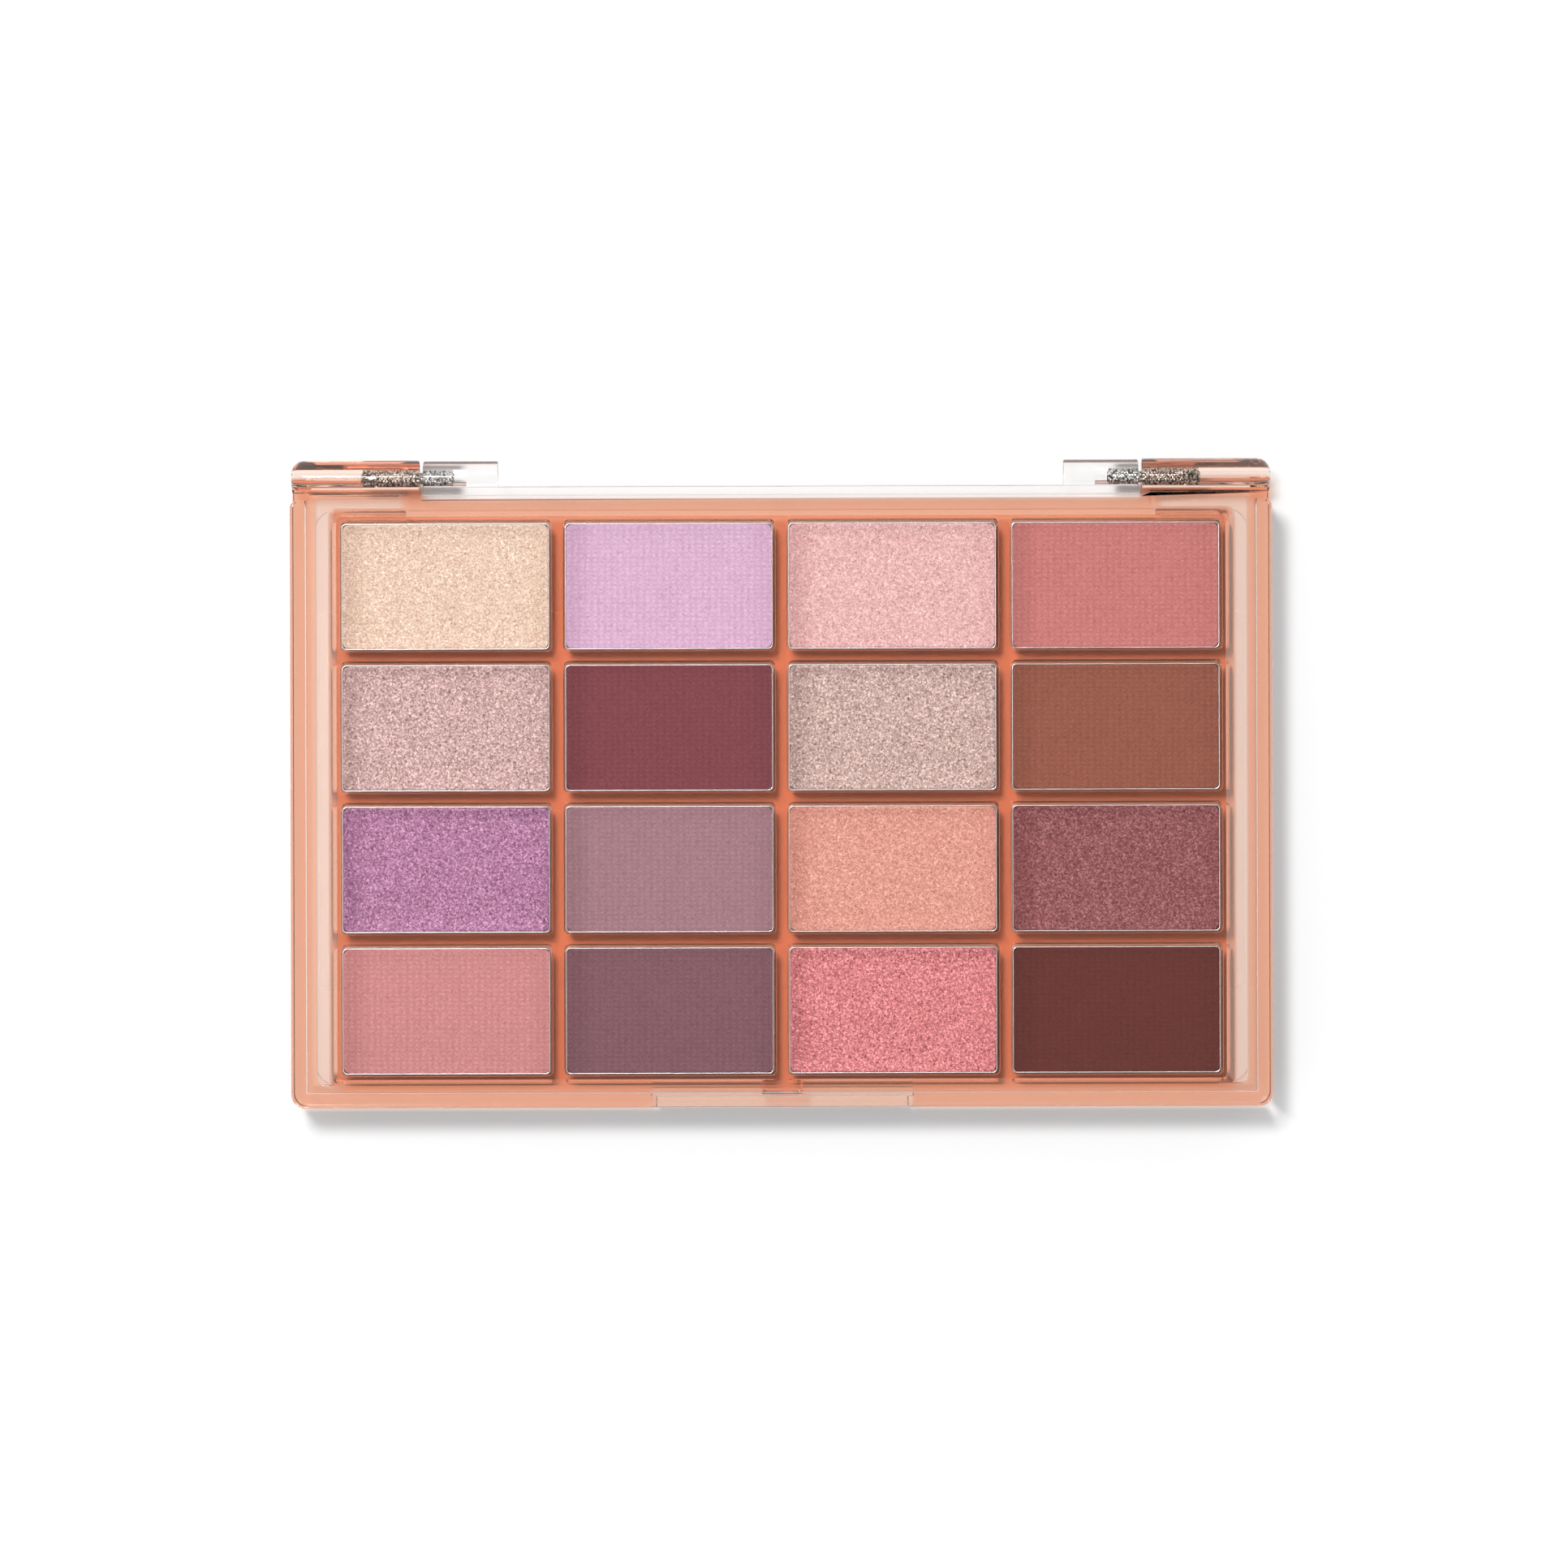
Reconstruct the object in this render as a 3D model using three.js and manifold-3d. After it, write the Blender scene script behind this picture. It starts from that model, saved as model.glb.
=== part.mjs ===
// A clear-lidded eyeshadow palette with sixteen metal pans, in millimetres.
// +X is to the right, +Y towards the hinge, +Z up. The resting face is at Z = 0.

import * as THREE from 'three';
import { mergeVertices } from 'three/addons/utils/BufferGeometryUtils.js';
import Module from 'manifold-3d';

const wasm = await Module();
wasm.setup();
const { Manifold, Mesh: SolidMesh } = wasm;

// Overall case.
const HALF_WIDTH = 60;
const FRONT_Y = -39.65;
const CASE_HEIGHT = 10;
const CASE_CORNER = 1.7;
const PARTING_Z = 2.6;
const EDGE_BEVEL = 0.3;

// Base tray.
const FLOOR_TOP = 1.1;
const FRAME_TOP = 5.2;
const FRAME_HALF_WIDTH = 55.65;
const FRAME_FRONT_Y = -37.4;
const FRAME_BACK_Y = 33.96;
const FRAME_BACK_CHAMFER = 1;
const BASE_BACK_Y = 35.0;
const MOAT_HALF_WIDTH = 57.3;
const MOAT_FRONT_Y = -36.95;
const MOAT_BACK_Y = 35.65;
const MOAT_BACK_INNER_X = 46.2;
const MOAT_CORNER = 1;
const REAR_WALL_BACK_Y = 36.9;
const END_WEB_INNER_X = 57.6;

// Thumb recess and latch at the front. The recess keeps a thin lip below the tab.
const RECESS_HALF_WIDTH = 16.05;
const RECESS_LIP_TOP = 1.6;
const LUG_HALF_WIDTH = 2.6;
const LUG_FRONT_Y = -38.2;
const LUG_BOTTOM = 2.95;
const LUG_TOP = 3.9;
const TAB_HALF_WIDTH = 15.4;
const TAB_INNER_Y = -38.4;
const TAB_BOTTOM = 1.8;
const HOOK_HALF_WIDTH = 2.4;
const HOOK_INNER_Y = -37.9;
const HOOK_BOTTOM = 2.0;
const HOOK_TOP = 2.75;

// Hinge.
const AXIS_Y = 37.4;
const AXIS_Z = 5.6;
const BASE_BARREL_RADIUS = 2.25;
const BASE_BARREL_INNER_X = 44.2;
const LID_BARREL_RADIUS = 2.15;
const LID_BARREL_INNER_X = 34.6;
const LID_BARREL_OUTER_X = 43.8;
const BARREL_SIDES = 36;
const PIN_RADIUS = 0.75;
const PIN_CLEARANCE = 0.08;
const PIN_INNER_X = 40;
const PIN_OUTER_X = 51.4;
const PIN_SIDES = 20;
const LID_BORE_END_X = 39.8;

// Lid.
const LID_PLATE_UNDERSIDE = 8.5;
const LID_SIDE_INNER_X = 58.2;
const LID_FRONT_INNER_Y = -37.9;
const LID_BACK_Y = 36.35;
const LID_SKIRT_INNER_Y = 35.3;
const LID_SKIRT_BOTTOM = 3.5;
const LID_SIDE_BACK_Y = 34.6;

// Wells, pans, powders and glue.
const COLUMN_PITCH = 27.4;
const ROW_PITCH = 17.36;
const GRID_CENTRE_Y = -1.75;
const COLUMNS = 4;
const ROWS = 4;
const WELL_WIDTH = 25.92;
const WELL_DEPTH = 16.1;
const WELL_CORNER = 0.6;
const PAN_WIDTH = 25.5;
const PAN_DEPTH = 15.5;
const PAN_CORNER = 0.6;
const PAN_SHIFT_X = -0.06;
const PAN_SHIFT_Y = -0.12;
const PAN_BOTTOM = 1.3;
const PAN_TOP = 4.5;
const PAN_WALL = 0.25;
const POWDER_BORDER = 0.6;
const POWDER_FIELD_DROP = 0.3;
const POWDER_RIM_DROP = 0.05;
const GLUE_RADIUS = 4;
const GLUE_SIDES = 16;

// Underside recess and its label.
const LABEL_RECESS = { left: -57.4, right: 57.4, front: -37.0, back: 33.6 };
const LABEL_RECESS_DEPTH = 0.2;
const LABEL_RECESS_CORNER = 2.5;
const LABEL = { left: -56.9, right: 56.9, front: -25.3, back: 21.05 };
const LABEL_THICKNESS = 0.1;
const LABEL_CORNER = 0.8;

// Segment counts of a rounded corner: large ones on the case, small ones in the grid.
const CASE_CORNER_STEPS = 6;
const GRID_CORNER_STEPS = 3;
const CUT_MARGIN = 1;

// ---------- solids ----------

function toSolid(geometry) {
  geometry.deleteAttribute('normal');
  geometry.deleteAttribute('uv');
  const merged = mergeVertices(geometry, 1e-5);
  const mesh = new SolidMesh({
    numProp: 3,
    vertProperties: new Float32Array(merged.attributes.position.array),
    triVerts: new Uint32Array(merged.index.array),
  });
  return new Manifold(mesh);
}

function toGeometry(solid) {
  const mesh = solid.getMesh();
  const geometry = new THREE.BufferGeometry();
  geometry.setAttribute('position', new THREE.BufferAttribute(mesh.vertProperties, 3));
  geometry.setIndex(new THREE.BufferAttribute(mesh.triVerts, 1));
  geometry.computeVertexNormals();
  return geometry;
}

// A plan outline from corners given as [x, y, radius], counter-clockwise.
function outline(corners, steps) {
  const points = [];
  corners.forEach(([x, y, radius], i) => {
    if (!radius) {
      points.push(new THREE.Vector2(x, y));
      return;
    }
    const here = new THREE.Vector2(x, y);
    const before = corners[(i + corners.length - 1) % corners.length];
    const after = corners[(i + 1) % corners.length];
    const toBefore = new THREE.Vector2(before[0] - x, before[1] - y).normalize();
    const toAfter = new THREE.Vector2(after[0] - x, after[1] - y).normalize();
    const centre = here.clone().addScaledVector(toBefore, radius).addScaledVector(toAfter, radius);
    const start = toAfter.clone().negate();
    const end = toBefore.clone().negate();
    for (let k = 0; k <= steps; k += 1) {
      const angle = (k / steps) * Math.PI / 2;
      points.push(centre.clone()
        .addScaledVector(start, radius * Math.cos(angle))
        .addScaledVector(end, radius * Math.sin(angle)));
    }
  });
  return new THREE.Shape(points);
}

function roundedRectangle(left, front, right, back, radius, steps) {
  return outline([
    [left, front, radius],
    [right, front, radius],
    [right, back, radius],
    [left, back, radius],
  ], steps);
}

function prism(shape, bottom, top) {
  const geometry = new THREE.ExtrudeGeometry(shape, { depth: top - bottom, bevelEnabled: false });
  geometry.translate(0, 0, bottom);
  return toSolid(geometry);
}

// A prism whose top and bottom edges are chamfered inside its outline.
function chamferedPrism(shape, bottom, top, bevel) {
  const geometry = new THREE.ExtrudeGeometry(shape, {
    depth: top - bottom - 2 * bevel,
    bevelEnabled: true,
    bevelThickness: bevel,
    bevelSize: bevel,
    bevelOffset: -bevel,
    bevelSegments: 1,
  });
  geometry.translate(0, 0, bottom + bevel);
  return toSolid(geometry);
}

function block(left, front, bottom, right, back, top) {
  const geometry = new THREE.BoxGeometry(right - left, back - front, top - bottom);
  geometry.translate((left + right) / 2, (front + back) / 2, (bottom + top) / 2);
  return toSolid(geometry);
}

// A round bar along X on the hinge axis.
function hingeBar(left, right, radius, sides) {
  const geometry = new THREE.CylinderGeometry(radius, radius, right - left, sides);
  geometry.rotateZ(Math.PI / 2);
  geometry.translate((left + right) / 2, AXIS_Y, AXIS_Z);
  return toSolid(geometry);
}

// The same solid on both sides of the middle plane X = 0.
function bothSides(make) {
  return make(1).add(make(-1));
}

function sideBlock(side, inner, front, bottom, outer, back, top) {
  return block(
    Math.min(side * inner, side * outer),
    front,
    bottom,
    Math.max(side * inner, side * outer),
    back,
    top,
  );
}

function sideBar(side, inner, outer, radius, sides) {
  return hingeBar(
    Math.min(side * inner, side * outer),
    Math.max(side * inner, side * outer),
    radius,
    sides,
  );
}

// ---------- grid positions ----------

const cells = [];
for (let row = 1; row <= ROWS; row += 1) {
  for (let column = 1; column <= COLUMNS; column += 1) {
    cells.push({
      name: `r${row}c${column}`,
      x: (column - (COLUMNS + 1) / 2) * COLUMN_PITCH,
      y: GRID_CENTRE_Y - (row - (ROWS + 1) / 2) * ROW_PITCH,
    });
  }
}

// ---------- base tray ----------

function basePlan() {
  return outline([
    [-HALF_WIDTH, FRONT_Y, CASE_CORNER],
    [HALF_WIDTH, FRONT_Y, CASE_CORNER],
    [HALF_WIDTH, REAR_WALL_BACK_Y, 0],
    [BASE_BARREL_INNER_X, REAR_WALL_BACK_Y, 0],
    [BASE_BARREL_INNER_X, BASE_BACK_Y, 0],
    [-BASE_BARREL_INNER_X, BASE_BACK_Y, 0],
    [-BASE_BARREL_INNER_X, REAR_WALL_BACK_Y, 0],
    [-HALF_WIDTH, REAR_WALL_BACK_Y, 0],
  ], CASE_CORNER_STEPS);
}

// The channel round the frame: down each side and round each back corner.
function moat(side) {
  const deep = FRAME_TOP + CUT_MARGIN;
  const along = prism(roundedRectangle(
    Math.min(side * (FRAME_HALF_WIDTH - 2 * MOAT_CORNER), side * MOAT_HALF_WIDTH),
    MOAT_FRONT_Y,
    Math.max(side * (FRAME_HALF_WIDTH - 2 * MOAT_CORNER), side * MOAT_HALF_WIDTH),
    MOAT_BACK_Y,
    MOAT_CORNER,
    GRID_CORNER_STEPS,
  ), FLOOR_TOP, deep);
  const across = sideBlock(
    side,
    MOAT_BACK_INNER_X,
    FRAME_BACK_Y - MOAT_CORNER,
    FLOOR_TOP,
    MOAT_HALF_WIDTH - MOAT_CORNER,
    MOAT_BACK_Y,
    deep,
  );
  return along.add(across);
}

function frameBlock(bottom, top) {
  return prism(outline([
    [-FRAME_HALF_WIDTH, FRAME_FRONT_Y, 0],
    [FRAME_HALF_WIDTH, FRAME_FRONT_Y, 0],
    [FRAME_HALF_WIDTH, FRAME_BACK_Y - FRAME_BACK_CHAMFER, 0],
    [FRAME_HALF_WIDTH - FRAME_BACK_CHAMFER, FRAME_BACK_Y, 0],
    [-FRAME_HALF_WIDTH + FRAME_BACK_CHAMFER, FRAME_BACK_Y, 0],
    [-FRAME_HALF_WIDTH, FRAME_BACK_Y - FRAME_BACK_CHAMFER, 0],
  ], 1), bottom, top);
}

function baseTray() {
  let tray = chamferedPrism(basePlan(), 0, PARTING_Z + 2 * EDGE_BEVEL, EDGE_BEVEL);
  const above = block(
    -HALF_WIDTH - CUT_MARGIN,
    FRONT_Y - CUT_MARGIN,
    PARTING_Z,
    HALF_WIDTH + CUT_MARGIN,
    REAR_WALL_BACK_Y + CUT_MARGIN,
    CASE_HEIGHT,
  );
  tray = tray.subtract(above);
  tray = tray.subtract(bothSides(moat));
  tray = tray.add(frameBlock(FLOOR_TOP, FRAME_TOP));
  // The rear wall behind each back channel carries the base's hinge barrel.
  tray = tray.add(bothSides((side) => sideBlock(
    side,
    BASE_BARREL_INNER_X,
    MOAT_BACK_Y,
    FLOOR_TOP,
    HALF_WIDTH,
    REAR_WALL_BACK_Y,
    AXIS_Z,
  )));
  tray = tray.add(bothSides((side) => sideBlock(
    side,
    END_WEB_INNER_X,
    REAR_WALL_BACK_Y,
    EDGE_BEVEL,
    HALF_WIDTH,
    AXIS_Y,
    AXIS_Z,
  )));
  // Each barrel is cut flush with the back wall of the channel.
  const barrels = bothSides((side) => sideBar(
    side,
    BASE_BARREL_INNER_X,
    HALF_WIDTH,
    BASE_BARREL_RADIUS,
    BARREL_SIDES,
  ));
  tray = tray.add(barrels.subtract(block(
    -HALF_WIDTH - CUT_MARGIN,
    BASE_BACK_Y - CUT_MARGIN,
    0,
    HALF_WIDTH + CUT_MARGIN,
    MOAT_BACK_Y,
    CASE_HEIGHT,
  )));
  for (const cell of cells) {
    tray = tray.subtract(prism(roundedRectangle(
      cell.x - WELL_WIDTH / 2,
      cell.y - WELL_DEPTH / 2,
      cell.x + WELL_WIDTH / 2,
      cell.y + WELL_DEPTH / 2,
      WELL_CORNER,
      GRID_CORNER_STEPS,
    ), FLOOR_TOP, FRAME_TOP + CUT_MARGIN));
  }
  tray = tray.subtract(prism(roundedRectangle(
    LABEL_RECESS.left,
    LABEL_RECESS.front,
    LABEL_RECESS.right,
    LABEL_RECESS.back,
    LABEL_RECESS_CORNER,
    GRID_CORNER_STEPS,
  ), -CUT_MARGIN, LABEL_RECESS_DEPTH));
  tray = tray.subtract(block(
    -RECESS_HALF_WIDTH,
    FRONT_Y - CUT_MARGIN,
    RECESS_LIP_TOP,
    RECESS_HALF_WIDTH,
    FRAME_FRONT_Y,
    PARTING_Z + CUT_MARGIN,
  ));
  tray = tray.add(block(
    -LUG_HALF_WIDTH,
    LUG_FRONT_Y,
    LUG_BOTTOM,
    LUG_HALF_WIDTH,
    FRAME_FRONT_Y,
    LUG_TOP,
  ));
  return tray.subtract(bothSides((side) => sideBar(
    side,
    BASE_BARREL_INNER_X - CUT_MARGIN,
    HALF_WIDTH + CUT_MARGIN,
    PIN_RADIUS,
    PIN_SIDES,
  )));
}

// ---------- lid ----------

function lidPlan() {
  return outline([
    [-HALF_WIDTH, FRONT_Y, CASE_CORNER],
    [HALF_WIDTH, FRONT_Y, CASE_CORNER],
    [HALF_WIDTH, LID_SIDE_BACK_Y, CASE_CORNER / 2],
    [LID_BARREL_OUTER_X, LID_SIDE_BACK_Y, 0],
    [LID_BARREL_OUTER_X, LID_BACK_Y, 0],
    [-LID_BARREL_OUTER_X, LID_BACK_Y, 0],
    [-LID_BARREL_OUTER_X, LID_SIDE_BACK_Y, 0],
    [-HALF_WIDTH, LID_SIDE_BACK_Y, CASE_CORNER / 2],
  ], CASE_CORNER_STEPS);
}

function lid() {
  let cover = chamferedPrism(lidPlan(), PARTING_Z - 2 * EDGE_BEVEL, CASE_HEIGHT, EDGE_BEVEL);
  cover = cover.subtract(block(
    -HALF_WIDTH - CUT_MARGIN,
    FRONT_Y - CUT_MARGIN,
    PARTING_Z - 3 * EDGE_BEVEL,
    HALF_WIDTH + CUT_MARGIN,
    LID_BACK_Y + CUT_MARGIN,
    PARTING_Z,
  ));
  // The hollow under the plate: walls at the front and sides, a rear skirt between the knuckles.
  cover = cover.subtract(block(
    -LID_SIDE_INNER_X,
    LID_FRONT_INNER_Y,
    PARTING_Z - CUT_MARGIN,
    LID_SIDE_INNER_X,
    LID_SKIRT_INNER_Y,
    LID_PLATE_UNDERSIDE,
  ));
  cover = cover.subtract(block(
    -LID_BARREL_OUTER_X - CUT_MARGIN,
    LID_SKIRT_INNER_Y - CUT_MARGIN,
    PARTING_Z - CUT_MARGIN,
    LID_BARREL_OUTER_X + CUT_MARGIN,
    LID_BACK_Y + CUT_MARGIN,
    LID_SKIRT_BOTTOM,
  ));
  cover = cover.add(bothSides((side) => sideBar(
    side,
    LID_BARREL_INNER_X,
    LID_BARREL_OUTER_X,
    LID_BARREL_RADIUS,
    BARREL_SIDES,
  )));
  // The front tab hangs in the thumb recess, with the snap ridge on its inner face.
  cover = cover.add(block(
    -TAB_HALF_WIDTH,
    FRONT_Y,
    TAB_BOTTOM,
    TAB_HALF_WIDTH,
    TAB_INNER_Y,
    PARTING_Z + CUT_MARGIN,
  ));
  cover = cover.subtract(block(
    -RECESS_HALF_WIDTH,
    TAB_INNER_Y,
    PARTING_Z - CUT_MARGIN,
    RECESS_HALF_WIDTH,
    LID_FRONT_INNER_Y + CUT_MARGIN,
    LUG_TOP + CUT_MARGIN,
  ));
  cover = cover.add(block(
    -HOOK_HALF_WIDTH,
    TAB_INNER_Y,
    HOOK_BOTTOM,
    HOOK_HALF_WIDTH,
    HOOK_INNER_Y,
    HOOK_TOP,
  ));
  return cover.subtract(bothSides((side) => sideBar(
    side,
    LID_BORE_END_X,
    LID_BARREL_OUTER_X + CUT_MARGIN,
    PIN_RADIUS + PIN_CLEARANCE,
    PIN_SIDES,
  )));
}

// ---------- pans, powders, glue and label ----------

function pan() {
  const outer = prism(roundedRectangle(
    -PAN_WIDTH / 2,
    -PAN_DEPTH / 2,
    PAN_WIDTH / 2,
    PAN_DEPTH / 2,
    PAN_CORNER,
    GRID_CORNER_STEPS,
  ), PAN_BOTTOM, PAN_TOP);
  return outer.subtract(panInside(PAN_BOTTOM + PAN_WALL, PAN_TOP + CUT_MARGIN));
}

function panInside(bottom, top) {
  return prism(roundedRectangle(
    -PAN_WIDTH / 2 + PAN_WALL,
    -PAN_DEPTH / 2 + PAN_WALL,
    PAN_WIDTH / 2 - PAN_WALL,
    PAN_DEPTH / 2 - PAN_WALL,
    PAN_CORNER - PAN_WALL,
    GRID_CORNER_STEPS,
  ), bottom, top);
}

function powder() {
  const border = PAN_WALL + POWDER_BORDER;
  const surface = PAN_TOP - POWDER_RIM_DROP;
  const field = prism(roundedRectangle(
    -PAN_WIDTH / 2 + border,
    -PAN_DEPTH / 2 + border,
    PAN_WIDTH / 2 - border,
    PAN_DEPTH / 2 - border,
    PAN_CORNER - PAN_WALL,
    GRID_CORNER_STEPS,
  ), surface - POWDER_FIELD_DROP, surface + CUT_MARGIN);
  return panInside(PAN_BOTTOM + PAN_WALL, surface).subtract(field);
}

function glueDot() {
  const geometry = new THREE.CylinderGeometry(
    GLUE_RADIUS,
    GLUE_RADIUS,
    PAN_BOTTOM - FLOOR_TOP,
    GLUE_SIDES,
  );
  geometry.rotateX(Math.PI / 2);
  geometry.translate(0, 0, (FLOOR_TOP + PAN_BOTTOM) / 2);
  return toSolid(geometry);
}

function undersideLabel() {
  return prism(roundedRectangle(
    LABEL.left,
    LABEL.front,
    LABEL.right,
    LABEL.back,
    LABEL_CORNER,
    GRID_CORNER_STEPS,
  ), LABEL_RECESS_DEPTH - LABEL_THICKNESS, LABEL_RECESS_DEPTH);
}

// ---------- assembly ----------

const POWDER_COLOURS = {
  r1c1: [0xf1d3bd, 0.35],
  r1c2: [0xe0b5d1, 0.9],
  r1c3: [0xf1bbb9, 0.35],
  r1c4: [0xcc7e7a, 0.9],
  r2c1: [0xd4b0ac, 0.35],
  r2c2: [0x854b51, 0.9],
  r2c3: [0xcfb0a7, 0.35],
  r2c4: [0x9a5f4d, 0.9],
  r3c1: [0xb981a4, 0.35],
  r3c2: [0xa87e87, 0.9],
  r3c3: [0xe7a08f, 0.35],
  r3c4: [0x975b5d, 0.5],
  r4c1: [0xd28e8c, 0.9],
  r4c2: [0x855d65, 0.9],
  r4c3: [0xe08689, 0.35],
  r4c4: [0x6b3c37, 0.9],
};

const palette = new THREE.Group();
palette.name = 'eyeshadow_palette';

function material(color, roughness, metalness, opacity = 1) {
  return new THREE.MeshStandardMaterial({
    color,
    roughness,
    metalness,
    opacity,
    transparent: opacity < 1,
  });
}

function place(name, solid, look, x = 0, y = 0) {
  const mesh = new THREE.Mesh(toGeometry(solid), look);
  mesh.name = name;
  mesh.position.set(x, y, 0);
  palette.add(mesh);
}

place('base_tray', baseTray(), material(0xf5a982, 0.08, 0, 0.6));
place('lid', lid(), material(0xffffff, 0.05, 0, 0.3));
for (const [name, side] of [['hinge_pin_left', -1], ['hinge_pin_right', 1]]) {
  const pin = sideBar(side, PIN_INNER_X, PIN_OUTER_X, PIN_RADIUS, PIN_SIDES);
  place(name, pin, material(0xb5b0a8, 0.35, 1));
}
place('underside_label', undersideLabel(), material(0xfafafa, 0.4, 0, 0.4));
for (const cell of cells) {
  const x = cell.x + PAN_SHIFT_X;
  const y = cell.y + PAN_SHIFT_Y;
  const [color, roughness] = POWDER_COLOURS[cell.name];
  place(`pan_${cell.name}`, pan(), material(0xd9dadc, 0.25, 1), x, y);
  place(`powder_${cell.name}`, powder(), material(color, roughness, 0), x, y);
  place(`glue_dot_${cell.name}`, glueDot(), material(0xf2efe6, 0.5, 0), x, y);
}

export default palette;
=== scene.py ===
"""A clear-lidded eyeshadow palette with sixteen pans of pressed powder, seen from above.

Lengths are in millimetres until a mesh is made. +X is to the right, +Y towards the hinge, +Z up.
"""
import math
import random

import bmesh
import bpy
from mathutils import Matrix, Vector


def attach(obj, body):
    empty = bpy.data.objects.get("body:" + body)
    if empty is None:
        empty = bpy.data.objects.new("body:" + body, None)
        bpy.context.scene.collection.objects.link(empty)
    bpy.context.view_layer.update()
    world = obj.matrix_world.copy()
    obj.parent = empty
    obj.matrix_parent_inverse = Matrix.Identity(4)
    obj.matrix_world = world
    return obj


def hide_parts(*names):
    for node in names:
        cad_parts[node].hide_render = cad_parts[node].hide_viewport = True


MM = 0.001

# Overall case.
HALF_WIDTH = 60.0
FRONT_Y = -39.65
CASE_HEIGHT = 10.0
CASE_CORNER = 1.7
PARTING_Z = 2.6

# Base tray. Limits are left, front, right, back. The channel's are inner, front, outer, back, on the right.
FLOOR_TOP = 1.1
FRAME_TOP = 5.2
FRAME_TOP_LIMITS = (-54.5, -36.3, 54.5, 32.75)
FRAME_FOOT_LIMITS = (-55.65, -37.4, 55.65, 33.9)
FRAME_BACK_STEP_X = 46.0
BASE_BACK_Y = 35.0
MOAT_FLOOR_LIMITS = (46.8, -36.95, 57.3, 35.5)
MOAT_TOP_LIMITS = (45.6, -37.1, 58.0, 35.67)
REAR_WALL_TOP_Y = 36.0
REAR_WALL_BACK_Y = 36.9
END_WEB_INNER_X = 57.6

# Thumb recess and latch.
RECESS_HALF_WIDTH = 16.05
RECESS_LIP_TOP = 1.6
LUG_HALF_WIDTH = 2.6
LUG_FRONT_Y = -38.2
LUG_BOTTOM = 2.95
LUG_TOP = 4.6
TAB_HALF_WIDTH = 15.4
TAB_INNER_Y = -38.4
TAB_BOTTOM = 1.8
HOOK_HALF_WIDTH = 2.4
HOOK_INNER_Y = -37.9
HOOK_BOTTOM = 2.0
HOOK_TOP = 2.75

# Hinge.
AXIS_Y = 37.4
AXIS_Z = 5.6
BASE_BARREL_RADIUS = 2.25
BASE_BARREL_INNER_X = 44.2
LID_BARREL_RADIUS = 2.15
LID_BARREL_INNER_X = 34.6
LID_BARREL_OUTER_X = 43.8
BARREL_SIDES = 72
BORE_SIDES = 48
PIN_SIDES = 96
PIN_RADIUS = 0.75
PIN_INNER_X = 40.0
PIN_OUTER_X = 51.4
LID_BORE_END_X = 38.5

# Lid.
LID_PLATE_UNDERSIDE = 8.5
LID_SIDE_INNER_X = 58.2
LID_FRONT_INNER_Y = -37.9
LID_BACK_Y = 36.35
LID_SKIRT_INNER_Y = 35.3
LID_SKIRT_BOTTOM = 3.5
LID_SIDE_BACK_Y = 34.6

# Wells, pans and powders.
COLUMN_PITCH = 27.4
ROW_PITCH = 17.36
GRID_CENTRE_Y = -1.75
WELL_WIDTH = 25.92
WELL_DEPTH = 16.1
WELL_CORNER = 0.6
WELL_LEAN = (0.1, 0.1, 0.2, 0.35)  # how far each wall comes in at the floor: left, front, right, back
PAN_WIDTH = 25.5
PAN_DEPTH = 15.5
PAN_CORNER = 0.6
PAN_SHIFT_X = -0.06
PAN_SHIFT_Y = -0.12
PAN_BOTTOM = 1.3
PAN_TOP = 4.5
PAN_WALL = 0.14
POWDER_LEVEL = PAN_TOP - 0.04
POWDER_CORNER = 0.9
GLUE_RADIUS = 3.6
GLUE_SIDES = 32

# Underside recess and label.
LABEL_RECESS = (-57.4, -37.0, 57.4, 33.6)
LABEL_RECESS_DEPTH = 0.21
LABEL_RECESS_CORNER = 2.5

CUT = 1.0  # how far a cutting shape runs past what it cuts
NEAR = 0.01  # slack for telling whether an edge lies at a level
OVERLAP = 0.4  # how deep inside its neighbour a joined shape starts
ROOT_Z = FLOOR_TOP / 2  # where shapes that stand on the tray's floor start, inside the floor
CONTACT_GAP = 0.03
BARREL_GAP = 0.02

# Looks.
PLASTIC_IOR = 1.49
PLASTIC_TINT = (0.975, 0.45, 0.15, 1)
TRAY_DENSITY = 260.0
BARREL_DENSITY = 130.0
LIGHT_BOUNCES = 24

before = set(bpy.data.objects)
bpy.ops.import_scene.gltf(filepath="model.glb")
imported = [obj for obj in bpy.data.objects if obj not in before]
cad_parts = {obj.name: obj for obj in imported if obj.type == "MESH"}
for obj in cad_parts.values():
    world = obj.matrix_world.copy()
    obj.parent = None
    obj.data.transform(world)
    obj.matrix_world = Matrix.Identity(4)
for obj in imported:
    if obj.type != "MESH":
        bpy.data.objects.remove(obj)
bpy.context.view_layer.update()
random.seed(11)


# ---------- mesh helpers ----------

def outline(corners, steps=8):
    """Points of a plan outline from (x, y, radius) corners, counter-clockwise."""
    points = []
    for i, (x, y, radius) in enumerate(corners):
        here = Vector((x, y))
        if not radius:
            points.append(here)
            continue
        before = Vector(corners[i - 1][:2])
        after = Vector(corners[(i + 1) % len(corners)][:2])
        to_before = (before - here).normalized()
        to_after = (after - here).normalized()
        centre = here + (to_before + to_after) * radius
        for k in range(steps + 1):
            angle = k / steps * math.pi / 2
            points.append(centre - to_after * radius * math.cos(angle)
                          - to_before * radius * math.sin(angle))
    return points


def rounded_rectangle(left, front, right, back, radius, steps=8):
    corners = [(left, front), (right, front), (right, back), (left, back)]
    return outline([(x, y, radius) for x, y in corners], steps)


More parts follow.
